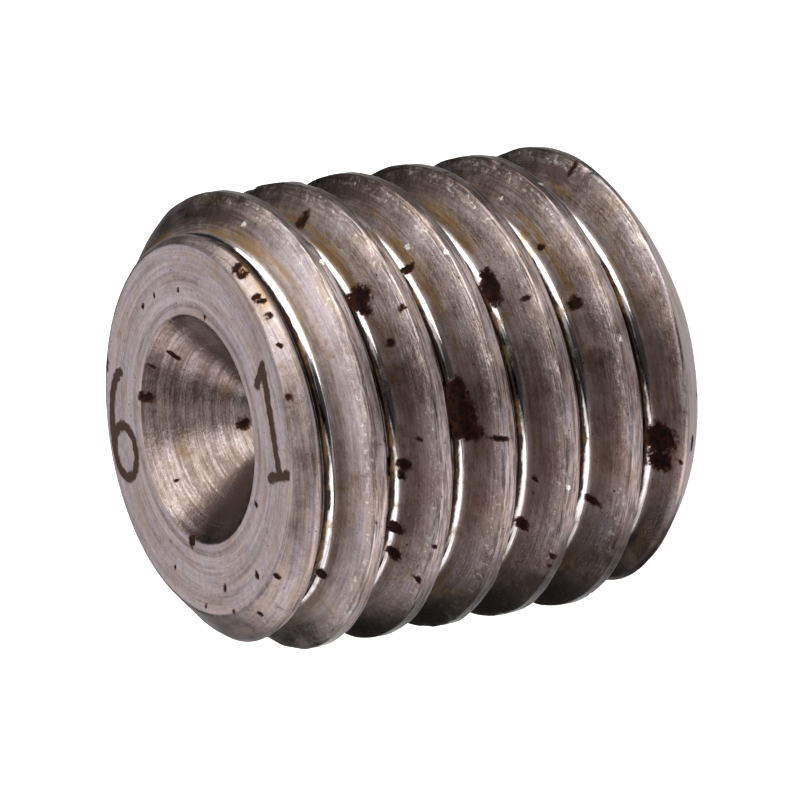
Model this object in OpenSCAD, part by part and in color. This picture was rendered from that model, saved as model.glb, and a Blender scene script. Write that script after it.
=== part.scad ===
// Orifice restrictor screw: a short set screw, turned from one piece of steel.
// It stands on its socket end with +Z along its axis, so the cone end faces up.
// The front of the screw is its -Y side. All sizes are in millimetres.

/* [Body] */
// Length from the socket end to the cone end
screw_length = 7.9; // [6.5:0.1:16]
// Width of the flat ring at the cone end, inside the chamfer
cone_end_d = 6.32; // [5.8:0.02:7]
// Width of the flat ring at the socket end, inside the chamfer
socket_end_d = 6.62; // [5.8:0.02:7]
// Slope of both end chamfers, measured from the axis
chamfer_angle = 45; // [35:1:60]

/* [Thread] */
// Width across the thread crests
thread_d = 7.87; // [7.7:0.01:8]
// Rise of the thread in one turn
thread_pitch = 1.25; // [1:0.05:1.5]
// Angle between the two flanks of the thread
thread_angle = 60; // [55:1:60]
// Width of the flat left on the crest
crest_flat = 0.21; // [0.14:0.01:0.3]
// Radius of the rounded groove bottom
root_round = 0.18; // [0.1:0.01:0.2]
// Height at which a crest passes the +X side, counted from the base
crest_height = 0.745; // [0:0.005:1.25]

/* [Seat cone and orifice] */
// Width of the cone where it meets the end face
cone_mouth_d = 3.9; // [3:0.05:4.5]
// Angle between opposite sides of the cone
cone_angle = 90; // [80:1:118]
// Width of the small through hole that meters the flow
orifice_d = 0.8; // [0.4:0.05:1]

/* [Hex socket] */
// Distance across the flats of the socket
hex_across = 4; // [3.5:0.1:4.2]
// Depth of the flats below the end face
hex_depth = 3; // [2.5:0.1:3.2]
// Width of the bevel at the mouth of the socket
hex_mouth_d = 4.9; // [4.8:0.05:5.2]
// Angle of the drill point at the bottom of the socket
drill_angle = 118; // [110:1:140]

/* [Output] */
// Which part to draw

/* [Hidden] */
thread_r = thread_d / 2;
cone_chamfer = (thread_r - cone_end_d / 2) / tan(chamfer_angle);
socket_chamfer = (thread_r - socket_end_d / 2) / tan(chamfer_angle);
cone_mouth_r = cone_mouth_d / 2;
cone_depth = (cone_mouth_r - orifice_d / 2) / tan(cone_angle / 2);
hex_drill_r = hex_across / 2;
hex_drill_depth = hex_drill_r / tan(drill_angle / 2);
hex_corner_r = hex_across / 2 / cos(30);
bevel_angle = 60;
hex_bevel = (hex_mouth_d / 2 - hex_across / 2) / tan(bevel_angle);
run_out = 0.5;

// The groove's section, as [radius, height from the groove's middle line].
steps_per_turn = 48;
half_angle = thread_angle / 2;
groove_half = (thread_pitch - crest_flat) / 2;
root_centre_r = thread_r - (groove_half - root_round / cos(half_angle)) / tan(half_angle);
overlap = 0.3 * crest_flat / tan(half_angle);
groove_out_r = thread_r + overlap;
groove_out_half = groove_half + overlap * tan(half_angle);
tangent = 90 - half_angle;
root_angles = [-tangent, -tangent / 2, 0, tangent / 2, tangent];
groove_section = concat(
    [[groove_out_r, -groove_out_half]],
    [for (a = root_angles) [root_centre_r - root_round * cos(a), root_round * sin(a)]],
    [[groove_out_r, groove_out_half]]
);

// The groove climbs one pitch per turn and runs past both ends.
groove_first = -ceil(1 + crest_height / thread_pitch);
groove_turns = ceil(screw_length / thread_pitch) + 1 - groove_first;
groove_base = crest_height + thread_pitch * (groove_first + 0.5);

steel = [0.6, 0.57, 0.56];
$fn = 96;

// A closed strip swept along the groove's helix, used to cut the thread.
module thread_groove() {
    count = len(groove_section);
    rings = groove_turns * steps_per_turn;
    points = [
        for (i = [0:rings])
            for (p = groove_section)
                let (a = 360 * i / steps_per_turn)
                [p[0] * cos(a), p[0] * sin(a), p[1] + groove_base + thread_pitch * i / steps_per_turn]
    ];
    sides = [
        for (i = [0:rings - 1])
            for (j = [0:count - 1])
                let (k = (j + 1) % count, low = i * count, high = low + count)
                for (face = [[low + j, high + k, low + k], [low + j, high + j, high + k]])
                    face
    ];
    first_cap = [for (j = [0:count - 1]) j];
    last_cap = [for (j = [count - 1:-1:0]) rings * count + j];
    polyhedron(points = points, faces = concat(sides, [first_cap, last_cap]), convexity = 12);
}

// The turned blank: a cylinder with a chamfer at each end.
module blank() {
    rotate_extrude()
        polygon([
            [0, 0],
            [socket_end_d / 2, 0],
            [thread_r, socket_chamfer],
            [thread_r, screw_length - cone_chamfer],
            [cone_end_d / 2, screw_length],
            [0, screw_length]
        ]);
}

// The open cone in the top face and the small hole below it.
// The cone is cut from above the face, so its edge stays sharp.
module seat_and_orifice() {
    translate([0, 0, screw_length - cone_depth])
        cylinder(
            r1 = orifice_d / 2,
            r2 = cone_mouth_r + run_out * tan(cone_angle / 2),
            h = cone_depth + run_out
        );
    translate([0, 0, hex_depth])
        cylinder(d = orifice_d, h = screw_length - hex_depth);
}

// The socket: a hexagon with a bevelled mouth and a drilled bottom.
module hex_socket() {
    translate([0, 0, -run_out])
        cylinder(r = hex_corner_r, h = hex_depth + run_out, $fn = 6);
    translate([0, 0, hex_depth])
        cylinder(r1 = hex_drill_r, r2 = 0, h = hex_drill_depth);
    translate([0, 0, -run_out])
        cylinder(
            r1 = hex_mouth_d / 2 + run_out * tan(bevel_angle),
            r2 = hex_across / 2,
            h = hex_bevel + run_out
        );
}

module restrictor_screw() {
    color(steel)
        difference() {
            blank();
            thread_groove();
            seat_and_orifice();
            hex_socket();
        }
}

restrictor_screw();
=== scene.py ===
import math

import bmesh
import bpy
import numpy as np
from mathutils import Matrix, Vector
from mathutils.bvhtree import BVHTree


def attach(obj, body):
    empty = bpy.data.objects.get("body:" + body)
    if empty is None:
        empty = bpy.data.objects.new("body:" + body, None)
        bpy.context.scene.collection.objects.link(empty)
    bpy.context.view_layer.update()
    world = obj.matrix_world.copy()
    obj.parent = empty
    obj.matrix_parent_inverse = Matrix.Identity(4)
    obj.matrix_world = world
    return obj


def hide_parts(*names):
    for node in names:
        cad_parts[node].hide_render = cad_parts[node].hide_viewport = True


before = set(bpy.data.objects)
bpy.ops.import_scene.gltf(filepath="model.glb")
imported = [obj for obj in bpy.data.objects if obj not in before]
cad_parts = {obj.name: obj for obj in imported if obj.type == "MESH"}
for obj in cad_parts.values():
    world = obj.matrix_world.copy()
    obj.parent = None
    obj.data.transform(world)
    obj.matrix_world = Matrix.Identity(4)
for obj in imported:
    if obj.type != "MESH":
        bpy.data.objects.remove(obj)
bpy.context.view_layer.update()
print("frame loaded:", sorted(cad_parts))

mm = 0.001
rng = np.random.default_rng(8)

# A long lens looks down at the cone end and the thread. It is turned on its side, so
# that the screw's axis runs across the view and a little upwards.
cameraSetup = {
    "sensor": 36.0,
    "lens": 360.0,
    "distance": 136.36,     # mm from the aim
    "elevation": 29.87,     # degrees above the floor
    "roll": -98.85,         # degrees, turned about the line of sight
    "aim": (-0.03, -0.02, 3.92),
    "clip": (0.005, 20.0),  # metres
    "viewSize": 800,        # the marks below are placed on a square view of this width
}


def makeCamera(setup):
    # The line of sight falls towards +Y by the elevation. The view's right and up start
    # level and upright, and turn about that line by the roll.
    rise = math.radians(setup["elevation"])
    roll = math.radians(setup["roll"])
    forward = Vector((0, math.cos(rise), -math.sin(rise)))
    levelRight = Vector((1, 0, 0))
    levelUp = levelRight.cross(forward)
    right = levelRight * math.cos(roll) + levelUp * math.sin(roll)
    up = levelUp * math.cos(roll) - levelRight * math.sin(roll)
    data = bpy.data.cameras.new("camera")
    data.sensor_width = setup["sensor"]
    data.lens = setup["lens"]
    data.clip_start, data.clip_end = setup["clip"]
    camera = bpy.data.objects.new("camera", data)
    bpy.context.collection.objects.link(camera)
    turn = Matrix((right, up, -forward)).transposed()
    place = (Vector(setup["aim"]) - forward * setup["distance"]) * mm
    camera.matrix_world = Matrix.Translation(place) @ turn.to_4x4()
    bpy.context.scene.camera = camera
    return camera


camera = makeCamera(cameraSetup)
print("camera placed")

screwSize = {
    "length": 7.9,
    "crestRadius": 3.935,
    "coneEndRadius": 3.16,      # edge of the flat ring round the cone
    "socketEndRadius": 3.31,    # edge of the flat ring round the socket
    "pitch": 1.25,
    "crestFlat": 0.21,
    "crestHeight": 0.745,       # where a crest passes the +X side
    "halfAngle": 30.0,          # of one thread flank
    "rootRound": 0.18,
    "mouthRadius": 1.95,
    "coneHalfAngle": 45.0,
    "orificeRadius": 0.4,
    "hexFlat": 2.0,             # middle of the socket to a flat
    "hexDepth": 3.0,
    "hexMouthRadius": 2.45,
    "hexBevelAngle": 60.0,
    "drillHalfAngle": 59.0,
    "edgeRound": 0.035,
    "crestRound": 0.04,
    "chamferRound": 0.05,
    "lip": 0.02,                # half the width of the small rounded edges inside
    "wideLip": 0.03,
    "cornerLip": 0.015,
}

# The mesh: columns round the screw (a multiple of 12), rows from a crest's middle line
# to the root in mm for a 1.25 mm pitch, and rows for each part of the outline.
meshSetup = {
    "columns": 312,
    "rowPitch": 1.25,
    "threadRows": (0, 0.05, 0.085, 0.1, 0.112, 0.13, 0.17, 0.23, 0.3,
                   0.37, 0.43, 0.468, 0.5, 0.53, 0.56, 0.592),
    "spareTurns": 5,
    "rows": {"ringEdge": 5, "ring": 26, "coneMouth": 4, "cone": 16, "holeMouth": 4, "hole": 5,
             "holeEnd": 3, "drill": 6, "shelf": 2, "flat": 9, "bevel": 3, "socketMouth": 4,
             "foot": 9, "footEdge": 5},
    "merge": 4e-7,              # metres
    "smallest": 1e-8,
}

# How worn the crest is: small dents and a raised burr along its two edges.
wearSetup = {
    "nicks": 130,
    "nickDepth": 0.045,
    "nickLevel": (0.2, 1.0),    # one dent's depth, as a share of the deepest
    "nickLength": (0.05, 0.28),
    "nickShare": (0.4, 1.0),    # and its length, as a share of the drawn one
    "nickWidth": (0.025, 0.07),
    "nickSides": (0.45, 0.1, 0.45),     # how many sit on one edge, the middle and the other
    "burr": 0.010,
    "burrWidth": 0.035,
    "burrLevel": 0.4,
    "wave": 0.006,
    "waves": 14,
    "waveRate": (0.6, 9.0),
    "waveStart": (0.0, 6.28),
    "crestReach": 0.15,         # the waves end this far from the crest's middle line
    "crestFade": 0.02,
    "endFade": 0.15,
}


def softMin(a, b, width):
    # the lower of two heights, with their corner rounded over the given width
    blend = np.clip(0.5 + 0.5 * (b - a) / width, 0, 1)
    return b * (1 - blend) + a * blend - width * blend * (1 - blend)


def threadRadius(height, angle, size):
    # From the crest's middle line outwards along the axis: a flat crest, a straight
    # flank and a rounded root. The line climbs by one pitch for each turn.
    slope = math.tan(math.radians(size["halfAngle"]))
    phase = (height - size["crestHeight"]) / size["pitch"] - angle / (2 * math.pi)
    fromCrest = np.abs(phase - np.round(phase)) * size["pitch"]
    flank = size["crestRadius"] - (fromCrest - size["crestFlat"] / 2) / slope
    upper = softMin(size["crestRadius"], flank, size["crestRound"])
    fromRoot = size["pitch"] / 2 - fromCrest
    rootRound = size["rootRound"]
    halfGroove = (size["pitch"] - size["crestFlat"]) / 2
    cosHalf = math.cos(math.radians(size["halfAngle"]))
    rootCentre = size["crestRadius"] - (halfGroove - rootRound / cosHalf) / slope
    root = rootCentre - np.sqrt(np.maximum(rootRound ** 2 - fromRoot ** 2, 0))
    return np.where(fromRoot < rootRound * cosHalf, root, upper)


def outerRadius(height, angle, size):
    # the thread, cut back by a 45 degree chamfer at each end
    thread = threadRadius(height, angle, size)
    coneEnd = size["coneEndRadius"] + (size["length"] - height)
    socketEnd = size["socketEndRadius"] + height
    return softMin(softMin(thread, coneEnd, size["chamferRound"]), socketEnd, size["chamferRound"])


def turned(start, end, steps, corner=None):
    # Rows of (radius, height) from start to end, both left out. With a corner, the
    # rows bend round it on a parabola and both ends are kept.
    if corner is None:
        t = np.linspace(0, 1, steps + 2)[1:-1, None]
        return [a + (b - a) * t for a, b in zip(start, end)]
    t = np.linspace(0, 1, steps)[:, None]
    return [(1 - t) ** 2 * a + 2 * t * (1 - t) * c + t ** 2 * b
            for a, c, b in zip(start, corner, end)]


def threadRows(angle, size, setup):
    # Rows that climb with the helix, close together at the crest's edges and in the
    # root. They are cut off level at both ends of the screw.
    pitch, edge = size["pitch"], size["edgeRound"]
    half = pitch / setup["rowPitch"] * np.array(setup["threadRows"])
    onePitch = np.concatenate([half, [pitch / 2], pitch - half[:0:-1]])
    turns = math.ceil(size["length"] / pitch) + setup["spareTurns"]
    climb = (np.arange(turns)[:, None] * pitch + onePitch[None, :]).ravel()
    climb = climb - (2 + math.ceil(size["crestHeight"] / pitch)) * pitch
    height = size["crestHeight"] + climb[:, None] + pitch * angle[None, :] / (2 * math.pi)
    top = size["length"] - edge
    inPart = np.flatnonzero((height.max(axis=1) > edge) & (height.min(axis=1) < top))
    keep = slice(inPart[0] - 1, inPart[-1] + 2)     # one level row more at each end
    height = np.clip(height[keep], edge, top)
    return outerRadius(height, angle[None, :], size), height, climb[keep]


def screwRows(angle, size, setup):
    # The whole outline as one closed run of rows: up the thread, over the ring, down
    # the cone and the small hole, out through the socket and back over the foot.
    ones = np.ones_like(angle)
    ground, top, edge = 0 * ones, size["length"] * ones, size["edgeRound"]
    lip, wideLip, cornerLip = size["lip"], size["wideLip"], size["cornerLip"]
    ringEdge, mouthEdge = 2.2 * edge, 0.6 * edge
    radius, height, climb = threadRows(angle, size, setup)
    outer, foot = radius[-1], radius[0]
    mouth = size["mouthRadius"] * ones
    ringIn = (size["mouthRadius"] + mouthEdge) * ones
    coneSlope = 1 / math.tan(math.radians(size["coneHalfAngle"]))
    coneTop = ((size["mouthRadius"] - mouthEdge) * ones, top - mouthEdge * coneSlope)
    hole = size["orificeRadius"] * ones
    holeTop = top - (size["mouthRadius"] - size["orificeRadius"]) * coneSlope
    coneEnd = (hole + lip, holeTop + lip * coneSlope)
    drillSlope = 1 / math.tan(math.radians(size["drillHalfAngle"]))
    shelf = size["hexDepth"] * ones
    hexFlat = size["hexFlat"] * ones
    holeEnd = shelf + (size["hexFlat"] - size["orificeRadius"]) * drillSlope
    drillTop = (hole + lip, holeEnd - lip * drillSlope)
    side = math.pi / 3
    flat = size["hexFlat"] / np.cos(np.mod(angle, side) - side / 2)
    bevelSlope = math.tan(math.radians(size["hexBevelAngle"]))
    bevel = (size["hexMouthRadius"] - flat) / bevelSlope
    socket = size["hexMouthRadius"] * ones
    plan = [
        ("ringEdge", (outer, top - edge), (outer - ringEdge, top), (outer - edge, top)),
        ("ring", (outer - ringEdge, top), (ringIn, top), None),
        ("coneMouth", (ringIn, top), coneTop, (mouth, top)),
        ("cone", coneTop, coneEnd, None),
        ("holeMouth", coneEnd, (hole, holeTop - wideLip), (hole, holeTop)),
        ("hole", (hole, holeTop - wideLip), (hole, holeEnd + lip), None),
        ("holeEnd", (hole, holeEnd + lip), drillTop, (hole, holeEnd)),
        ("drill", drillTop, (hexFlat, shelf), None),
        ("shelf", (hexFlat, shelf), (flat - cornerLip, shelf), (flat, shelf)),
        ("flat", (flat, shelf - cornerLip), (flat, bevel + lip), None),
        ("bevel", (flat, bevel + lip), (flat + lip * bevelSlope, bevel - lip), (flat, bevel)),
        ("socketMouth", (socket - lip * bevelSlope, ground + lip), (socket + wideLip, ground),
         (socket, ground)),
        ("foot", (socket + wideLip, ground), (foot - ringEdge, ground), None),
        ("footEdge", (foot - ringEdge, ground), (foot, ground + edge), (foot - edge, ground)),
    ]
    runs = [(radius, height)] + [turned(start, end, setup["rows"][name], corner)
                                 for name, start, end, corner in plan]
    zone = np.concatenate([np.full(len(run[0]), i) for i, run in enumerate(runs)])
    radius, height = (np.concatenate(part) for part in zip(*runs))
    return radius, height, zone, climb


def layCoordinates(angle, radius, height, zone, climb, size):
    # A place on the turned surface, in mm: the third value goes over the profile, the
    # first two go round. On the thread they follow the helix, so that turning lines
    # run with the groove and carry on from one turn to the next.
    zoneGap, lastStep = 20, 0.05
    turn = (angle - angle[0]) / (2 * math.pi)
    step = np.hypot(np.diff(radius, axis=0, append=radius[:1]),
                    np.diff(height, axis=0, append=height[:1])).mean(axis=1)
    across = np.cumsum(step) - step + zoneGap * zone
    girth = np.bincount(zone, radius.mean(axis=1)) / np.bincount(zone)
    along = girth[zone][:, None, None] * np.stack([np.cos(angle), np.sin(angle)], -1)
    thread = zone == 0
    lap = np.floor(climb / size["pitch"] + 1e-6)
    profile = threadRadius(size["crestHeight"] + climb, 0.0, size)
    path = np.cumsum(np.hypot(np.diff(profile, prepend=profile[0]),
                              np.diff(climb, prepend=climb[0])))
    lapLength = np.interp(climb[0] + size["pitch"], climb, path)
    across[thread] = path - (lap - lap[0]) * lapLength
    step[thread] = np.diff(path, append=path[-1] + lastStep)
    along[thread, :, 0] = 2 * math.pi * size["crestRadius"] * (turn[None, :] + lap[:, None])
    along[thread, :, 1] = 0
    return along, across, across + step


def crestWear(angle, climb, height, size, wear):
    # Dents, burrs and waves on the crest, as a change of radius. A dent is a soft dip by
    # travel along the groove and by distance from the crest's middle line. A burr rises
    # at the crest's two edges, waves are a sum of sines, and all end before the screw's
    # ends.
    pitch = size["pitch"]
    fromCrest = (climb - np.round(climb / pitch) * pitch)[:, None]
    lap = np.round(climb / pitch)[:, None] + angle[None, :] / (2 * math.pi)
    fromEdge = np.abs(fromCrest) - size["crestFlat"] / 2
    edges = np.exp(-(fromEdge / wear["burrWidth"]) ** 2)
    onCrest = 1 / (1 + np.exp((np.abs(fromCrest) - wear["crestReach"]) / wear["crestFade"]))
    travel = lap * 2 * math.pi * size["crestRadius"]
    change = np.zeros_like(height)
    for _ in range(wear["waves"]):
        rate, start = rng.uniform(*wear["waveRate"]), rng.uniform(*wear["waveStart"])
        change += np.sin(travel * rate + start) / wear["waves"]
    change = (wear["wave"] * 2 * change * onCrest
              + wear["burr"] * edges * (wear["burrLevel"] + 2 * change))
    low, high = travel.min(), travel.max()
    for _ in range(wear["nicks"]):
        place = rng.uniform(low, high)
        long = rng.uniform(*wear["nickLength"]) * rng.uniform(*wear["nickShare"])
        side = rng.choice([-1, 0, 1], p=wear["nickSides"]) * size["crestFlat"] / 2
        wide = rng.uniform(*wear["nickWidth"])
        dent = np.exp(-((travel - place) / long) ** 4 - ((fromCrest - side) / wide) ** 2)
        change -= rng.uniform(*wear["nickLevel"]) * wear["nickDepth"] * dent
    fromEnd = np.minimum(height, size["length"] - height) - size["edgeRound"]
    return change * np.clip(fromEnd / wear["endFade"], 0, 1)


def loopMesh(name, points, along, across, acrossEnd):
    # Quads between neighbouring rows and columns, the last row joined to the first.
    # Each face has its own lay coordinates, so they can jump between two rows.
    rows, count = points.shape[:2]
    index = np.arange(rows * count).reshape(rows, count)
    above = np.roll(index, -1, axis=0)
    quads = np.stack([index[:, :-1], index[:, 1:], above[:, 1:], above[:, :-1]], axis=-1)
    mesh = bpy.data.meshes.new(name)
    mesh.from_pydata(points.reshape(-1, 3), [], quads.reshape(-1, 4))
    lay = np.empty(quads.shape + (3,))
    lay[:, :, [0, 3], :2] = along[:, :-1, None]
    lay[:, :, [1, 2], :2] = along[:, 1:, None]
    lay[:, :, :2, 2] = across[:, None, None]
    lay[:, :, 2:, 2] = acrossEnd[:, None, None]
    layer = mesh.attributes.new("lay", "FLOAT_VECTOR", "CORNER")
    layer.data.foreach_set("vector", lay.ravel().astype(np.float32))
    return mesh


def makeScrew(size, setup, wear):
    # Each point is its radius times the cosine and sine of its angle, at its height. The
    # first and last columns meet and are merged.
    angle = np.linspace(0, 2 * math.pi, setup["columns"] + 1) + math.pi / 2
    radius, height, zone, climb = screwRows(angle, size, setup)
    thread = zone == 0
    radius[thread] += crestWear(angle, climb, height[thread], size, wear)
    lay = layCoordinates(angle, radius, height, zone, climb, size)
    points = np.stack([radius * np.cos(angle), radius * np.sin(angle), height], axis=-1) * mm
    mesh = loopMesh("screw", points, *lay)
    work = bmesh.new()
    work.from_mesh(mesh)
    bmesh.ops.remove_doubles(work, verts=work.verts, dist=setup["merge"])
    bmesh.ops.dissolve_degenerate(work, edges=work.edges, dist=setup["smallest"])
    bmesh.ops.recalc_face_normals(work, faces=work.faces)
    openEdges = sum(len(edge.link_faces) != 2 for edge in work.edges)
    work.to_mesh(mesh)
    work.free()
    mesh.shade_smooth()
    piece = bpy.data.objects.new("restrictor_screw_body", mesh)
    bpy.context.collection.objects.link(piece)
    print("screw:", len(mesh.vertices), "points,", len(mesh.polygons), "faces,",
          openEdges, "open edges")
    return piece


screw = makeScrew(screwSize, meshSetup, wearSetup)

# Where rust and dirt sit, each with its place in the camera's view, its length along the
# thread and its width across it in mm, and how deep its colour is.
rustMarks = {
    "firstGrooveBlob": ((360, 298), (0.22, 0.22), 1.0),
    "firstGrooveTail": ((366, 312), (0.10, 0.12), 0.8),
    "secondFlankDot": ((391, 343), (0.07, 0.09), 1.0),
    "secondCrestFleck": ((402, 308), (0.05, 0.10), 0.8),
    "secondCrestNotch": ((407, 270), (0.07, 0.14), 1.1),
    "thirdGroovePatch": ((491, 289), (0.28, 0.15), 1.2),
    "thirdGroovePatchTop": ((486, 276), (0.14, 0.10), 1.0),
    "fourthFlankDot": ((541, 247), (0.06, 0.08), 1.0),
    "fourthGrooveSpot": ((575, 303), (0.12, 0.14), 1.0),
    "thirdCrestDash": ((527, 298), (0.05, 0.10), 0.9),
    "thirdCrestDot": ((522, 287), (0.04, 0.05), 0.9),
    "bigPatchTop": ((457, 392), (0.24, 0.18), 1.0),
    "bigPatchMiddle": ((462, 412), (0.24, 0.26), 1.2),
    "bigPatchFoot": ((468, 430), (0.16, 0.26), 1.2),
    "thirdFlankStreak": ((498, 438), (0.04, 0.20), 0.9),
    "lowClusterOne": ((404, 464), (0.10, 0.12), 1.0),
    "lowClusterTwo": ((402, 475), (0.08, 0.08), 0.9),
    "lowClusterThree": ((395, 527), (0.11, 0.16), 1.1),
    "lowClusterFour": ((394, 553), (0.12, 0.13), 1.1),
    "lowDot": ((417, 579), (0.07, 0.08), 1.0),
    "lowFleck": ((435, 546), (0.04, 0.05), 1.0),
    "firstFlankFleck": ((376, 524), (0.04, 0.04), 0.9),
    "firstFlankRed": ((366, 475), (0.05, 0.06), 0.8),
    "secondFlankRed": ((418, 438), (0.05, 0.06), 0.8),
    "thirdGrooveLow": ((522, 523), (0.11, 0.13), 1.1),
    "thirdFlankLow": ((535, 478), (0.05, 0.05), 0.9),
    "thirdFlankLower": ((535, 493), (0.05, 0.05), 0.9),
    "fourthGrooveLow": ((592, 500), (0.08, 0.14), 1.1),
    "fourthFlankLow": ((554, 557), (0.06, 0.08), 1.0),
    "fourthFlankLower": ((549, 567), (0.05, 0.05), 1.0),
    "lastGrooveBlob": ((661, 438), (0.24, 0.26), 1.2),
    "lastGrooveBlobFoot": ((660, 460), (0.18, 0.20), 1.1),
    "rearChamferSpot": ((692, 443), (0.14, 0.09), 1.0),
    "rearChamferFleck": ((678, 462), (0.06, 0.06), 1.0),
    "rearChamferDot": ((677, 412), (0.04, 0.05), 0.9),
    "firstGrooveTop": ((302, 221), (0.12, 0.20), 0.8),
    "farCrestMark": ((573, 168), (0.06, 0.16), 0.9),
    "runOutBlob": ((321, 573), (0.10, 0.10), 1.0),
    "chamferPatchOne": ((237, 268), (0.10, 0.13), 0.8),
    "chamferPatchTwo": ((243, 275), (0.08, 0.10), 0.9),
    "chamferFleckOne": ((256, 298), (0.07, 0.08), 1.0),
    "chamferFleckTwo": ((263, 301), (0.05, 0.06), 1.0),
    "chamferFleckThree": ((268, 316), (0.06, 0.06), 1.0),
    "chamferFleckFour": ((279, 346), (0.05, 0.05), 0.9),
    "chamferFleckFive": ((289, 397), (0.06, 0.07), 0.7),
    "coneSpotRed": ((175, 481), (0.05, 0.06), 0.9),
    "coneFleckOne": ((170, 353), (0.05, 0.06), 1.0),
    "coneFleckTwo": ((176, 357), (0.05, 0.05), 0.9),
    "coneFleckThree": ((151, 366), (0.03, 0.09), 1.0),
    "coneFleckFour": ((162, 374), (0.05, 0.06), 1.0),
    "coneFoot": ((192, 541), (0.10, 0.12), 0.9),
    "coneSide": ((243, 424), (0.12, 0.12), 0.75),
    "coneHook": ((146, 397), (0.09, 0.15), 1.0),
    "coneHookFoot": ((152, 412), (0.14, 0.05), 1.0),
    "ringPitOne": ((154, 295), (0.04, 0.05), 1.0),
    "ringPitTwo": ((178, 290), (0.04, 0.04), 0.9),
    "ringPitThree": ((143, 306), (0.06, 0.04), 0.9),
    "ringPitFour": ((205, 317), (0.04, 0.05), 0.9),
    "ringPitFive": ((256, 504), (0.05, 0.06), 1.0),
    "ringPitSix": ((175, 567), (0.04, 0.05), 0.9),
    "ringPitSeven": ((257, 575), (0.05, 0.08), 1.0),
    "ringPitEight": ((277, 576), (0.05, 0.07), 1.0),
    "ringPitNine": ((225, 588), (0.06, 0.07), 0.7),
    "ringPitTen": ((260, 614), (0.05, 0.06), 1.0),
    "ringPitEleven": ((234, 612), (0.04, 0.05), 0.8),
    "ringPitTwelve": ((206, 606), (0.04, 0.05), 0.7),
}

# brown film that has dried at the start of the groove, in the cone and on the chamfer
filmMarks = {
    "firstTop": ((212, 200), (0.60, 0.08), 0.7),
    "grooveStart": ((262, 292), (0.45, 0.06), 0.9),
    "grooveStartLow": ((303, 352), (0.45, 0.05), 0.8),
    "grooveStartFoot": ((324, 440), (0.60, 0.05), 0.7),
    "grooveStartEnd": ((318, 560), (0.50, 0.06), 0.8),
    "runOut": ((329, 525), (0.10, 0.10), 1.0),
    "chamferTop": ((243, 268), (0.28, 0.12), 1.0),
    "chamferSide": ((262, 303), (0.22, 0.10), 0.7),
    "thirdFlank": ((478, 455), (0.22, 0.16), 0.6),
    "lastGroove": ((664, 420), (0.30, 0.12), 0.7),
    "coneRight": ((226, 392), (0.25, 0.25), 0.6),
}

# painted shade and light: darker patches with a soft edge, and paler ones where the depth is below
# zero
paintedLightAndShadeMarks = {
    "firstFlankHigh": ((322, 296), (0.80, 0.32), -0.38),
    "firstCrestSide": ((376, 445), (0.80, 0.12), 0.35),
    "firstCrestFoot": ((369, 534), (0.50, 0.16), -0.55),
    "secondFlankFoot": ((408, 430), (1.60, 0.22), -0.12),
    "lastFlankTop": ((648, 292), (0.90, 0.25), -0.20),
    "secondFlankSide": ((424, 376), (0.45, 0.32), 0.24),
    "thirdFlankSide": ((488, 386), (0.40, 0.32), 0.20),
    "fourthFlankSide": ((553, 374), (0.40, 0.32), 0.22),
    "fifthFlankSide": ((616, 376), (0.45, 0.32), 0.34),
    "thirdFlankHigh": ((468, 300), (0.90, 0.25), -0.26),
    "secondFlankHigh": ((402, 308), (0.60, 0.25), -0.14),
    "fourthFlankHigh": ((540, 312), (0.60, 0.25), -0.18),
    "fifthTop": ((533, 190), (0.50, 0.25), 0.34),
    "lastTop": ((562, 178), (0.45, 0.25), 0.30),
    "coneFoot": ((224, 508), (0.55, 0.45), 0.50),
    "coneFootSide": ((239, 480), (0.35, 0.35), 0.60),
    "coneTop": ((205, 352), (0.45, 0.35), 0.30),
    "chamferSide": ((291, 400), (0.65, 0.20), 0.35),
    "chamferFoot": ((304, 475), (0.90, 0.25), 0.22),
    "rearChamfer": ((688, 400), (1.20, 0.25), 0.18),
    "firstTop": ((222, 216), (0.60, 0.25), 0.35),
    "firstTopFoot": ((236, 240), (0.40, 0.25), 0.35),
    "secondTop": ((322, 196), (0.50, 0.25), 0.2),
    "thirdTop": ((440, 182), (0.50, 0.25), 0.25),
    "fourthTop": ((505, 176), (0.50, 0.25), 0.25),
}

# small bright nicks
paleMarks = {
    "firstTopNick": ((245, 223), (0.06, 0.06), 1.2),
    "thirdGrooveNick": ((495, 302), (0.08, 0.06), 1.2),
    "fourthCrestNick": ((568, 488), (0.06, 0.06), 1.1),
    "fifthFlankNick": ((620, 338), (0.06, 0.06), 1.1),
    "firstCrestNick": ((322, 262), (0.07, 0.06), 1.1),
    "secondCrestNick": ((408, 246), (0.07, 0.05), 1.1),
    "thirdCrestNick": ((446, 252), (0.07, 0.05), 1.1),
    "fourthCrestEdge": ((500, 200), (0.07, 0.05), 1.1),
    "fourthCrestTop": ((541, 184), (0.07, 0.06), 1.1),
}

# The hidden side gets spots of the same sizes, at random. Facing is the cosine of the
# angle between a face and the camera.
hiddenSpots = {"count": 150, "length": (0.03, 0.22), "width": (0.04, 0.22),
               "depth": (0.7, 1.2), "facing": -0.25}


def hitFromCamera(tree, at):
    # the point and normal of the screw under a place in the camera's view: a ray from
    # the camera, aside by the place's share of the half width
    half = cameraSetup["viewSize"] / 2
    reach = camera.data.sensor_width / 2 / camera.data.lens
    aside = Vector(((at[0] - half) / half * reach, (half - at[1]) / half * reach, -1))
    place = camera.matrix_world.translation
    ray = (camera.matrix_world.to_3x3() @ aside).normalized()
    point, normal, _, _ = tree.ray_cast(place, ray)
    return point, normal


flatEnd = 0.2       # a normal nearer to the axis than this, as a sine, is on a flat end


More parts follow.
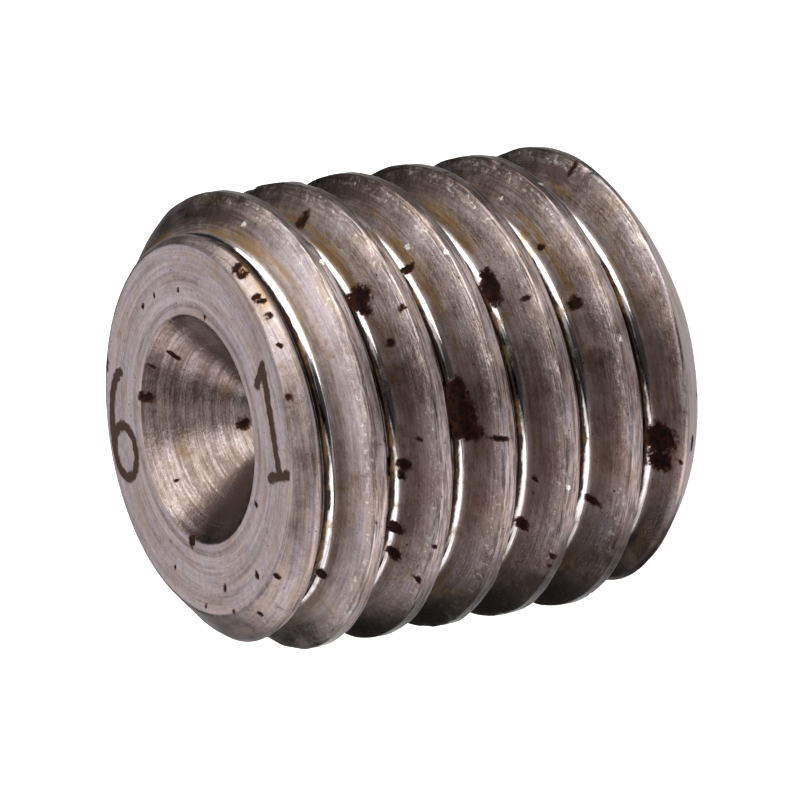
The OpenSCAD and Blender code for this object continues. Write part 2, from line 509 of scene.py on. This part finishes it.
def blotch(points, centre, normal, size):
    # a soft oval on the surface, long round the screw and wide across it, from 1 in
    # its middle to 0, and only on the side that the middle faces
    axis = np.array([0, 0, 1.0])
    normal = np.array(normal)
    along = np.cross(normal, axis)
    if np.linalg.norm(along) < flatEnd:     # there, round is square to the radius
        along = np.cross(normal, np.array([centre[0], centre[1], 0]) / np.hypot(*centre[:2]))
    along /= np.linalg.norm(along)
    across = np.cross(normal, along)
    away = points - np.array(centre)
    long, wide = size[0] * mm, size[1] * mm
    spread = (away @ along / long) ** 2 + (away @ across / wide) ** 2
    spread += (away @ normal / (0.5 * long + 0.5 * wide)) ** 2
    return np.exp(-spread)


def placedStain(tree, points, places):
    # each point keeps the strongest of the marks that reach it
    stain = np.zeros(len(points))
    for name, (at, size, depth) in places.items():
        point, normal = hitFromCamera(tree, at)
        if point is None:
            print("no surface under", name)
            continue
        spot = depth * blotch(points, point, normal, size)
        stain = np.where(np.abs(spot) > np.abs(stain), spot, stain)
    return stain


def hiddenStain(stain, points, normals, hidden):
    # more spots in random places, where a face looks away from the camera
    view = np.array(camera.matrix_world.translation) - points
    view /= np.linalg.norm(view, axis=1)[:, None]
    behind = np.flatnonzero((normals * view).sum(axis=1) < hidden["facing"])
    for _ in range(hidden["count"]):
        pick = rng.choice(behind)
        size = (rng.uniform(*hidden["length"]), rng.uniform(*hidden["width"]))
        depth = rng.uniform(*hidden["depth"])
        stain = np.maximum(stain, depth * blotch(points, points[pick], normals[pick], size))
    return stain


# Two plain digits cut lightly into the ring. Up is +X and right is -Y on the ring.
# Each stroke is an arc with a centre, two radii and its end angles, or a straight line.
digitMarks = {
    "six": {"at": (0.28, 2.62), "arcs": [((0, -0.46), (0.37, 0.45), 0, 360),
                                         ((0.31, -0.46), (0.68, 1.36), 180, 96)], "lines": []},
    "one": {"at": (-0.05, -2.56), "arcs": [],
            "lines": [((0.05, -0.93), (0.05, 0.93)), ((0.05, 0.93), (-0.25, 0.62)),
                      ((-0.28, -0.93), (0.42, -0.93))]},
}
arcPoints = 25
farAway = 9.0       # mm, for points with no digit near


def digitDistance(points, marks):
    # how far each point of the ring is from the nearest stroke, in mm: an arc becomes a
    # run of straight lines, and the nearest place on each line is found by projection
    nearest = np.full(len(points), farAway)
    for mark in marks.values():
        right = -(points[:, 1] / mm - mark["at"][1])
        up = points[:, 0] / mm - mark["at"][0]
        lines = [np.array(line, float) for line in mark["lines"]]
        for centre, radii, start, end in mark["arcs"]:
            t = np.radians(np.linspace(start, end, arcPoints))
            path = np.stack([centre[0] + radii[0] * np.cos(t),
                             centre[1] + radii[1] * np.sin(t)], -1)
            lines += [path[i:i + 2] for i in range(len(path) - 1)]
        for a, b in lines:
            step = b - a
            t = ((right - a[0]) * step[0] + (up - a[1]) * step[1]) / (step @ step)
            t = np.clip(t, 0, 1)
            off = np.hypot(right - a[0] - t * step[0], up - a[1] - t * step[1])
            nearest = np.minimum(nearest, off)
    return nearest


# roughness, and how much paler or darker than the rest, for each zone
steelFinish = {"thread": 0.29, "ring": 0.34, "cone": 0.16, "chamfer": 0.38}
steelTone = {"thread": 0.0, "ring": 0.06, "cone": -0.36, "chamfer": 0.0}

# thin turned lines on the ring, each with its radius and how dark it is
ringLines = {"mouth": (2.12, 0.30), "inner": (2.22, -0.12), "middle": (2.58, 0.12),
             "outer": (2.86, 0.08)}
ringLineWidth = 0.05

# Where the surface values change, in mm. The painted shade on the sides and top, and
# the painted contact shadow low on the -X side, start at a distance from the screw's
# middle plane, deepen over a length and fade out above or below a height.
surfaceSetup = {
    "rootDepth": 0.72,          # from the crest down to where the rise is 0
    "flatRise": 0.6,            # the rise that flat parts and chamfers count as
    "flatGroove": -1.0,         # and their groove value
    "flatReach": 0.01,          # what counts as one of the flat ends
    "boreReach": 0.1,           # as the inside, past the socket's mouth
    "ringReach": 0.002,         # as the ring's face
    "chamferReach": 0.10,       # and as a chamfer
    "chamferFade": 0.08,
    # painted shade on both X sides low down, and on the +X side high up
    "side": {"start": 2.3, "over": 1.3, "height": 5.6, "fade": 1.5, "depth": 0.5},
    "top": {"start": 2.9, "over": 0.8, "height": 3.6, "fade": 1.0, "depth": 0.4},
    # painted contact shadow, dark low on the -X side
    "paintedContactShadow": {"start": 2.1, "lean": 0.15, "over": 0.8, "height": 6.6, "fade": 1.2},
}


def ramp(value, start, width):
    # from 0 at the start to 1 after the width, in a straight line
    return np.clip((value - start) / width, 0, 1)


def flatParts(radius, tall, size, setup):
    # which points lie inside the screw or on a flat end, and how much each of the
    # others counts as chamfer: 1 close to that 45 degree surface, fading to 0
    reach = setup["flatReach"]
    inside = ((radius < size["hexMouthRadius"] + setup["boreReach"])
              | (tall > size["length"] - reach) | (tall < reach))
    surface = np.minimum(size["coneEndRadius"] + size["length"] - tall,
                         size["socketEndRadius"] + tall)
    chamfer = ramp(-np.abs(radius - surface), -setup["chamferReach"], setup["chamferFade"])
    return inside, np.where(inside, 0, chamfer)


def byZone(values, inside, cone, chamfer):
    # the ring's value inside and the thread's outside, then the cone's and chamfer's
    value = np.where(inside, values["ring"], values["thread"])
    for zone, amount in (("cone", cone), ("chamfer", chamfer)):
        value = value + (values[zone] - value) * amount
    return value


def surfaceValues(points, paintedLightAndShade, size, setup):
    # Rise is 0 in the root and 1 on the crest. Groove is the distance from the root's
    # middle line along the axis. Finish and pale go by zone, less the lines, the painted light
    # and shade patches and the painted shade on the sides and top. Mark is the distance from
    # a digit, and the painted contact shadow is the shade painted low on the -X side.
    radius = np.hypot(points[:, 0], points[:, 1]) / mm
    across, tall = points[:, 0] / mm, points[:, 2] / mm
    inside, chamfer = flatParts(radius, tall, size, setup)
    root = size["crestRadius"] - setup["rootDepth"]
    rise = ramp(radius, root, size["crestRadius"] - root)
    rise = np.where(inside, setup["flatRise"], rise + (setup["flatRise"] - rise) * chamfer)
    turn = np.arctan2(points[:, 1], points[:, 0]) / (2 * math.pi)
    groove = np.mod((tall - size["crestHeight"]) / size["pitch"] - turn, 1) - 0.5
    groove = np.where(inside, setup["flatGroove"], groove * size["pitch"])
    groove = groove + (setup["flatGroove"] - groove) * chamfer
    cone = radius < size["mouthRadius"] - setup["flatReach"]
    finish = byZone(steelFinish, inside, cone, chamfer)
    pale = byZone(steelTone, inside, cone, chamfer)
    onRing = tall > size["length"] - setup["ringReach"]
    for middle, depth in ringLines.values():
        line = depth * np.exp(-((radius - middle) / ringLineWidth) ** 2)
        pale = pale - np.where(onRing, line, 0)
    # painted shade: darker on both X sides towards the socket end, and on the +X side towards the
    # cone end
    side, top, low = setup["side"], setup["top"], setup["paintedContactShadow"]
    sideways = ramp(np.abs(across), side["start"], side["over"])
    sideways = sideways * ramp(-tall, -side["height"], side["fade"])
    upward = ramp(across, top["start"], top["over"]) * ramp(tall, top["height"], top["fade"])
    paintedSideAndTopShade = side["depth"] * sideways + top["depth"] * upward * (1 - chamfer)
    # less the painted light and shade patches and the painted shade on the sides and top
    pale = pale - paintedLightAndShade - np.where(inside, 0, paintedSideAndTopShade)
    # painted contact shadow: darker low on the -X side, towards the socket end
    paintedContactShadow = ramp(-across - low["lean"] * tall, low["start"], low["over"])
    paintedContactShadow = np.where(inside, 0, paintedContactShadow * ramp(-tall, -low["height"], low["fade"]))
    mark = np.where(onRing, digitDistance(points, digitMarks), farAway)
    return {"rise": rise, "mark": mark, "finish": finish, "pale": pale, "groove": groove,
            "paintedContactShadow": paintedContactShadow}


# every value that the steel reads from the vertices
vertexValues = ("rust", "film", "nick", "rise", "mark", "finish", "pale", "groove", "paintedContactShadow")


def readVectors(mesh, key):
    # one vector for each vertex, a row of three numbers
    values = np.empty(len(mesh.vertices) * 3)
    mesh.vertices.foreach_get(key, values)
    return values.reshape(-1, 3)


def stainScrew(piece, hidden):
    # works out every value that the steel reads, and keeps each as a vertex attribute
    mesh = piece.data
    points, normals = readVectors(mesh, "co"), readVectors(mesh, "normal")
    work = bmesh.new()
    work.from_mesh(mesh)
    tree = BVHTree.FromBMesh(work)
    work.free()
    placed = (rustMarks, filmMarks, paintedLightAndShadeMarks, paleMarks)
    rust, film, paintedLightAndShade, nick = (placedStain(tree, points, places) for places in placed)
    rust = hiddenStain(rust, points, normals, hidden)
    values = {"rust": rust, "film": film, "nick": nick}
    values.update(surfaceValues(points, paintedLightAndShade, screwSize, surfaceSetup))
    for name in vertexValues:
        layer = mesh.attributes.new(name, "FLOAT", "POINT")
        layer.data.foreach_set("value", values[name].astype(np.float32))
    print("stains:", sum(len(places) for places in placed), "placed,", hidden["count"],
          "on the hidden side")


stainScrew(screw, hiddenSpots)

# All lengths are in mm and all colours are linear.
steelLook = {
    "light": (0.50, 0.42, 0.435),
    "warm": (0.49, 0.385, 0.345),
    "dark": (0.13, 0.090, 0.080),
    "root": (0.70, 0.67, 0.67),
    "bright": (0.86, 0.82, 0.70),
    "rustPit": (0.006, 0.003, 0.0025),
    "rustCore": (0.022, 0.006, 0.003),
    "rustRim": (0.055, 0.018, 0.010),
    "film": (0.18, 0.110, 0.055),
    "filmGold": (0.27, 0.155, 0.055),
    # dark colour for the crest's dark lines, and for the painted shade line in the root and the
    # painted contact shadow
    "grimeAndShade": (0.030, 0.020, 0.016),
    "digit": (0.034, 0.013, 0.006),
    "digitStroke": 0.085,       # half the width of a digit's stroke
    "digitSoft": 0.02,
    "digitWander": 0.12,
    # how far the painted shade line at the root's far side wanders
    "rootShadeWander": 0.16,       # of the dark line at the root's far side
    "rustWander": 1.5,
    "rustSpread": 3.0,
    "rustRoughness": 0.75,
    "filmRoughness": 0.5,
    "specular": 0.08,
    "rises": {"streak": 0.0035, "fleck": 0.007, "grain": 0.0024},
    "cuts": {"band": 0.006, "core": 0.008, "cut": 0.02},
}

# how far each pattern moves the tone between dark and light
toneAmounts = {"streak": 1.2, "broad": 1.0, "mottle": 0.8, "fleck": 0.65, "grain": 0.4}

# Patterns on the lay: how fine they are for each mm round the screw, twice, and across
# the turning lines, with their detail and roughness.
layPatterns = {
    "streak": ((0.8, 0.8, 24.0), 5, 0.65),
    "lines": ((1.5, 1.5, 17.0), 3, 0.65),
    "broad": ((0.5, 0.5, 7.0), 4, 0.6),
    "worn": ((5.0, 5.0, 12.0), 4, 0.6),
    "warmth": ((0.8, 0.8, 3.0), 4, 0.6),
    "polish": ((0.7, 0.7, 2.0), 4, 0.6),
    "corner": ((2.0, 2.0, 5.0), 3, 0.6),
    "beside": ((0.45, 0.45, 3.0), 4, 0.6),
}

# patterns in space: how fine for each mm, detail and roughness
spacePatterns = {
    "mottle": (2.2, 5, 0.6),
    "fleck": (9.0, 5, 0.65),
    "grain": (26.0, 2, 0.6),
    "chips": (11.0, 3, 0.6),
    "wisp": (1.6, 7, 0.7),
    "speck": (15.0, 2, 0.5),
    "ragged": (10.0, 6, 0.7),
}

# What a value turns into: while it goes from the first to the second number, the result
# goes from the third to the fourth.
steelRanges = {
    "crest": (0.80, 0.97, 0, 1),            # by rise
    "offCrest": (0.93, 0.99, 1, 0),
    "baseTone": (0.12, 0.32, 0.54, 0.56),
    "crestTone": (0.6, 0.95, 0, 0.08),
    "rootTone": (0.05, 0.18, 0.5, 0),
    "wornRise": (0.62, 0.8, 0, 1),
    "worn": (0.52, 0.64, 0, 0.5),
    "warmth": (0.42, 0.60, 0, 1),
    "chips": (0.58, 0.64, 0, 0.6),          # bright chips near the crest
    "chipsMottle": (0.42, 0.58, 0.3, 1),
    "chipsRise": (0.66, 0.8, 0, 1),
    "polish": (0.40, 0.60, 0.45, 0.9),      # the polished root
    "polishRise": (0.06, 0.13, 1, 0),
    "band": (0.38, 0.56, 0.6, 0),           # dark lines along the crest
    # the painted shade line beside the root, where the crest shades it, by groove
    "corner": (-0.065, -0.025, 0, 1),       # the dark line beside the root, by groove
    "rootShadeRise": (0.55, 0.90, 1, 0),
    "farSide": (0.05, 0.13, 1, 0.5),
    "contactShadowMottle": (0.3, 0.55, 0.7, 1),
    "wispRise": (0.15, 0.8, 0.05, 0.15),    # brown film
    "wisp": (0.44, 0.62, 0, 0.7),
    "driedFleck": (0.30, 0.55, 0.45, 1.1),
    "dried": (0.12, 0.80, 0, 0.7),
    "besideStart": (-0.34, -0.22, 0, 1),
    "besideEnd": (-0.16, -0.11, 1, 0),
    "beside": (0.46, 0.60, 0, 0.55),
    "aloftFilm": (0.2, 1.6, 0.7, 1.5),
    "aloft": (0.2, 1.6, 0, 1),
    "speck": (0.70, 0.76, 0, 0.9),
    "nickGrain": (0.3, 0.6, 0.7, 1.2),
    "nick": (0.45, 0.65, 0, 1),
    "rim": (0.12, 0.42, 0, 1),              # rust, from its thin edge to its middle
    "core": (0.36, 0.58, 0, 1),
    "pitted": (0.42, 0.58, 0, 1),
    "dull": (0.30, 0.50, 0, 1),
    "flankFinish": (0.15, 0.6, 1.7, 1),     # the foot of a flank is rougher than its top
    "rootFinish": (0.05, 0.13, 0.16, 1),    # and the root is smoother
    "crestFinish": (0, 1, 0, 0.32),
    "mottleFinish": (0.3, 0.7, -0.05, 0.06),
    "reliefRise": (0.04, 0.25, 0.15, 1),
}


def fill(made, inputs):
    # an input takes another node's output or a constant
    for key, value in inputs.items():
        if isinstance(value, bpy.types.NodeSocket):
            made.id_data.links.new(value, made.inputs[key])
        else:
            made.inputs[key].default_value = value


def node(tree, kind, inputs=None, **settings):
    # one shader node with its settings and inputs
    made = tree.nodes.new("ShaderNode" + kind)
    for key, value in settings.items():
        setattr(made, key, value)
    fill(made, inputs or {})
    return made


def after(kind, inputs, **settings):
    # the first output of a new node, in the tree that its inputs are in
    sockets = (value for value in inputs.values() if isinstance(value, bpy.types.NodeSocket))
    return node(next(sockets).id_data, kind, inputs, **settings).outputs[0]


def combine(operation, first, *rest, clamp=False):
    # the operation on the first two values, then on that result and the next one
    for value in rest:
        first = after("Math", {0: first, 1: value}, operation=operation, use_clamp=clamp)
    return first


def between(value, low, high, start=0.0, end=1.0):
    # goes smoothly from start to end while the value goes from low to high
    return after("MapRange", {"Value": value, "From Min": low, "From Max": high,
                              "To Min": start, "To Max": end}, interpolation_type="SMOOTHSTEP")


def blend(amount, a, b):
    # the colour a where the amount is 0, b where it is 1
    a, b = (value if isinstance(value, bpy.types.NodeSocket) else (*value, 1) for value in (a, b))
    mixed = node(amount.id_data, "Mix", data_type="RGBA")
    fill(mixed, {0: amount, 6: a, 7: b})
    return mixed.outputs[2]


def cloud(vector, scale, detail, roughness):
    # fractal noise from 0 to 1, with 0.5 in its middle
    return after("TexNoise", {"Vector": vector, "Scale": scale, "Detail": detail,
                              "Roughness": roughness})


def stretched(vector, amounts):
    # each part of the vector times its own amount
    return after("VectorMath", {0: vector, 1: amounts}, operation="MULTIPLY")


def times(*values):
    # their product
    return combine("MULTIPLY", *values)


def plus(*values):
    # their sum
    return combine("ADD", *values)


def less(*values):
    # the first value, less each of the others
    return combine("SUBTRACT", *values)


def highest(*values):
    # the highest of them
    return combine("MAXIMUM", *values)


def around(value, amount):
    # noise from 0 to 1 becomes a change up or down by half the amount
    return times(less(value, 0.5), amount)


def within(name, value):
    # what the value turns into, by the range of that name
    return between(value, *steelRanges[name])


def steelValues(tree):
    # what the layers read: the vertex values, the noise patterns and the place along X
    place = node(tree, "TexCoord").outputs["Object"]
    place = stretched(place, (1 / mm, 1 / mm, 1 / mm))
    lay = node(tree, "Attribute", attribute_name="lay").outputs["Vector"]
    values = {name: node(tree, "Attribute", attribute_name=name).outputs["Fac"]
              for name in vertexValues}
    for name, (stretch, detail, roughness) in layPatterns.items():
        values[name] = cloud(stretched(lay, stretch), 1.0, detail, roughness)
    for name, pattern in spacePatterns.items():
        values[name] = cloud(place, *pattern)
    values["aloft"] = after("SeparateXYZ", {0: place})
    return values


def filmAmount(values):
    # the highest of broad wisps, the film that was placed, and a band beside the root
    wisps = less(values["wisp"], within("wispRise", values["rise"]))
    dried = times(values["film"], within("driedFleck", values["fleck"]))
    groove = values["groove"]
    beside = times(within("besideStart", groove), within("besideEnd", groove),
                   within("beside", values["beside"]), within("aloftFilm", values["aloft"]))
    return highest(within("wisp", wisps), within("dried", dried), beside)


def rustAmount(values, look):
    # the placed rust with a ragged edge: noise is added to it, and where the rust is
    # thin, only as much noise as its depth allows
    spread = combine("MINIMUM", 1.0, times(values["rust"], look["rustSpread"]))
    ragged = around(values["ragged"], look["rustWander"])
    return plus(values["rust"], times(ragged, spread))


def wearAmounts(values, look):
    # How much of each layer lies at a point, from 0 to 1. Most are a product of ranges:
    # where on the profile it lies, times how its own pattern breaks it up.
    rise, mottle = values["rise"], values["mottle"]
    crest, offCrest = within("crest", rise), within("offCrest", rise)
    worn = times(within("wornRise", rise), offCrest, within("worn", values["worn"]))
    chips = times(within("chips", values["chips"]), within("chipsMottle", mottle),
                  within("chipsRise", rise), offCrest)
    polished = times(within("polish", values["polish"]), within("polishRise", rise))
    band = times(crest, within("band", values["lines"]))
    # the corner layer is painted shade: a dark line at the root's far side, where the crest shades
    # the root
    corner = plus(values["groove"], around(values["corner"], look["rootShadeWander"]))
    corner = times(within("corner", corner), within("rootShadeRise", rise),
                   within("farSide", corner))
    # the painted contact shadow, broken up by the mottle
    paintedContactShadow = times(values["paintedContactShadow"], within("contactShadowMottle", mottle))
    nick = times(values["nick"], within("nickGrain", values["grain"]))
    rusty = rustAmount(values, look)
    cut = plus(values["mark"], around(values["fleck"], look["digitWander"]))
    stroke, soft = look["digitStroke"], look["digitSoft"]
    return {"crest": crest, "worn": worn, "chips": chips, "polished": polished, "band": band,
            "corner": corner, "paintedContactShadow": paintedContactShadow, "film": filmAmount(values),
            "speck": within("speck", values["speck"]), "nick": within("nick", nick),
            "dull": within("dull", rusty), "rim": within("rim", rusty),
            "core": within("core", rusty),
            "cut": between(cut, stroke - soft, stroke + soft, 1.0, 0.0)}


def steelColour(values, amounts, look):
    # The tone, a sum of patterns, picks a colour between dark and light. Each layer is
    # then blended over the ones before it, by its amount.
    rise, changes = values["rise"], toneAmounts.items()
    tone = plus(*(around(values[name], change) for name, change in changes))
    for name in ("baseTone", "crestTone", "rootTone"):
        tone = plus(tone, within(name, rise))
    tone = plus(tone, amounts["worn"])
    tone = combine("ADD", tone, values["pale"], clamp=True)
    warmth = within("warmth", values["warmth"])
    colour = blend(tone, look["dark"], blend(warmth, look["light"], look["warm"]))
    golden = blend(within("aloft", values["aloft"]), look["film"], look["filmGold"])
    pitted = within("pitted", values["fleck"])
    pitted = blend(pitted, look["rustPit"], look["rustCore"])
    grimeAndShade, bright, red = look["grimeAndShade"], look["bright"], look["rustRim"]
    # the band is a dark line pattern; the corner and low -X layers are painted shade in the same
    # dark colour
    layers = {"chips": bright, "polished": look["root"], "band": grimeAndShade, "corner": grimeAndShade,
              "paintedContactShadow": grimeAndShade, "film": golden, "speck": red, "nick": bright, "rim": red,
              "core": pitted, "cut": look["digit"]}
    for name, cover in layers.items():
        colour = blend(amounts[name], colour, cover)
    return colour


def steelRoughness(values, amounts, look):
    # the zone's own, rougher at the foot of a flank and smooth in the root, and nowhere
    # less than that of the crest, the rust and the film that lie there
    rise = values["rise"]
    rough = times(values["finish"], within("flankFinish", rise), within("rootFinish", rise))
    rough = highest(rough, within("crestFinish", amounts["crest"]))
    rough = plus(rough, within("mottleFinish", values["mottle"]))
    return highest(rough, times(amounts["rim"], look["rustRoughness"]),
                   times(amounts["film"], look["filmRoughness"]))


def steelRelief(values, amounts, look):
    # turning lines and grain stand up, less so in the root, and the crest's dark lines,
    # rust and digits go in
    rises, cuts = look["rises"].items(), look["cuts"].items()
    height = plus(*(times(values[name], depth) for name, depth in rises))
    height = times(height, within("reliefRise", values["rise"]))
    height = less(height, *(times(amounts[name], depth) for name, depth in cuts))
    height = times(height, mm)
    return after("Bump", {"Height": height, "Distance": 1.0, "Strength": 1.0})


def makeSteel(look):
    # worn steel, which is bare metal except where rust or a digit covers it
    material = bpy.data.materials.new("wornSteel")
    material.use_nodes = True
    tree = material.node_tree
    shader = tree.nodes["Principled BSDF"]
    values = steelValues(tree)
    amounts = wearAmounts(values, look)
    bare = less(1.0, highest(amounts["dull"], amounts["cut"]))
    surface = {"Base Color": steelColour(values, amounts, look), "Metallic": bare,
               "Roughness": steelRoughness(values, amounts, look),
               "Normal": steelRelief(values, amounts, look)}
    for name, value in surface.items():
        tree.links.new(value, shader.inputs[name])
    shader.inputs["Specular IOR Level"].default_value = look["specular"]
    print("steel:", len(tree.nodes), "nodes")
    return material


screw.data.materials.append(makeSteel(steelLook))
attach(screw, "root")
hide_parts("restrictor_screw")

floorSetup = {"size": 3.0, "colour": (0.86, 0.86, 0.86), "roughness": 0.9, "wash": 3.5}


def makeFloor(setup):
    # one square in the plane that the screw stands on, with the screw at its middle
    mesh = bpy.data.meshes.new("floor")
    half = setup["size"] / 2
    mesh.from_pydata([(-half, -half, 0), (half, -half, 0), (half, half, 0), (-half, half, 0)],
                     [], [(0, 1, 2, 3)])
    piece = bpy.data.objects.new("floor", mesh)
    bpy.context.collection.objects.link(piece)
    paint = bpy.data.materials.new("paleFloor")
    paint.use_nodes = True
    surface = paint.node_tree.nodes["Principled BSDF"]
    surface.inputs["Base Color"].default_value = (*setup["colour"], 1)
    surface.inputs["Roughness"].default_value = setup["roughness"]
    mesh.materials.append(paint)
    piece.visible_glossy = False
    return piece


floor = makeFloor(floorSetup)
print("floor placed")

# Each softbox: its direction from the screw, the direction of its long side, its
# distance, length and width in metres and its brightness as watts for each square metre.
lightSetup = {
    "high": {"towards": (0.934, -0.251, 0.254), "along": (0.26, 0.96, 0.0), "distance": 0.304,
             "size": (0.45, 0.16), "power": 8.5, "colour": (0.96, 1.0, 0.97)},
    "highTop": {"towards": (0.712, -0.318, 0.626), "along": (0.26, 0.96, 0.0),
                "distance": 0.313, "size": (0.373, 0.10), "power": 9.0,
                "colour": (0.91, 1.0, 0.95)},
    "low": {"towards": (-0.92, -0.03, 0.38), "along": (-0.03, 1.0, 0.0), "distance": 0.30,
            "size": (0.64, 0.17), "power": 4.2, "colour": (1, 1, 1)},
    "overhead": {"towards": (0.385, -0.385, 0.84), "along": (0.87, 0.45, -0.20),
                 "distance": 0.40, "size": (0.25, 0.10), "power": 7.0,
                 "colour": (0.90, 1.0, 0.94)},
    "crown": {"towards": (0.352, 0.173, 0.92), "along": (0.704, 0.602, -0.376),
              "distance": 0.40, "size": (0.19, 0.13), "power": 2.4,
              "colour": (0.88, 0.98, 1.0)},
    "aside": {"towards": (-0.48, 0.34, 0.81), "along": (-0.54, 0.67, -0.50),
              "distance": 0.40, "size": (0.46, 0.34), "power": 2.4, "colour": (1, 1, 1)},
    "behind": {"towards": (0.0, 0.82, 0.57), "along": (1.0, 0.0, 0.0), "distance": 0.40,
               "size": (0.18, 0.20), "power": 4.2, "colour": (0.95, 0.96, 1.0)},
}


def makeLights(setup):
    # Each lamp stands at its distance along its direction and faces the screw. Its long
    # side is the given one, made square to that direction.
    for name, light in setup.items():
        data = bpy.data.lights.new(name, "AREA")
        data.shape = "RECTANGLE"
        data.size, data.size_y = light["size"]
        data.energy = light["power"] * light["size"][0] * light["size"][1]
        data.color = light["colour"]
        lamp = bpy.data.objects.new(name, data)
        bpy.context.collection.objects.link(lamp)
        back = Vector(light["towards"]).normalized()
        side = Vector(light["along"])
        side = (side - side.dot(back) * back).normalized()
        turn = Matrix((side, back.cross(side), back)).transposed()
        lamp.matrix_world = Matrix.Translation(back * light["distance"]) @ turn.to_4x4()
    print("lights:", ", ".join(setup))


makeLights(lightSetup)


def washFloor(piece, power):
    # a lamp straight above that lights the floor alone, so that it stays plain
    data = bpy.data.lights.new("floorWash", "SUN")
    data.energy = power
    data.use_shadow = False
    lamp = bpy.data.objects.new("floorWash", data)
    bpy.context.collection.objects.link(lamp)
    lamp.location = (0, 0, 1)
    receiver = bpy.data.collections.new("floorOnly")
    receiver.objects.link(piece)
    lamp.light_linking.receiver_collection = receiver


washFloor(floor, floorSetup["wash"])

# Brightness of the dim room, by the cosine of the angle from a direction, or by height.
# It is palest around one direction overhead, dark at the screw's own level and pale
# again below it, with two brighter sides and a dark front where the camera stands.
roomSetup = {
    "colour": (1, 0.985, 0.975),
    "palest": {"towards": (0.50, -0.30, 0.81), "range": (0.3, 1.0, 0.03, 1.42)},
    "below": {"height": (-0.45, -0.05, 0.9, 0.0), "sideways": (0.1, 0.7, 1.0, 0.35)},
    "side": {"towards": (-0.80, -0.55, -0.20), "range": (0.66, 0.82, 0.0, 1.45)},
    "across": {"towards": (0.79, -0.54, -0.30), "range": (0.78, 0.93, 0.0, 1.1)},
    "front": {"towards": (0.0, -0.867, 0.498), "range": (0.82, 0.95, 1.0, 0.06)},
}


def makeRoom(setup):
    # the highest of the bright parts, times the darkening towards the front
    world = bpy.data.worlds.new("room")
    world.use_nodes = True
    tree = world.node_tree
    direction = node(tree, "TexCoord").outputs["Generated"]
    parts = node(tree, "SeparateXYZ", {0: direction})

    def near(name):
        # the cosine of the angle from that part's direction
        return node(tree, "VectorMath", {0: direction, 1: setup[name]["towards"]},
                    operation="DOT_PRODUCT").outputs["Value"]

    def patch(name):
        # how bright, or how dark, that part makes the room
        return between(near(name), *setup[name]["range"])

    low, high, start, end = setup["palest"]["range"]
    bright = after("MapRange", {"Value": near("palest"), "From Min": low, "From Max": high,
                                "To Min": start, "To Max": end})
    below = combine("MULTIPLY", between(parts.outputs["Z"], *setup["below"]["height"]),
                    between(parts.outputs["X"], *setup["below"]["sideways"]))
    bright = combine("MAXIMUM", bright, below, patch("side"), patch("across"))
    bright = combine("MULTIPLY", bright, patch("front"))
    tree.links.new(bright, tree.nodes["Background"].inputs["Strength"])
    tree.nodes["Background"].inputs["Color"].default_value = (*setup["colour"], 1)
    bpy.context.scene.world = world
    print("room:", len(tree.nodes), "nodes")


makeRoom(roomSetup)
bpy.context.scene.view_settings.view_transform = "Standard"
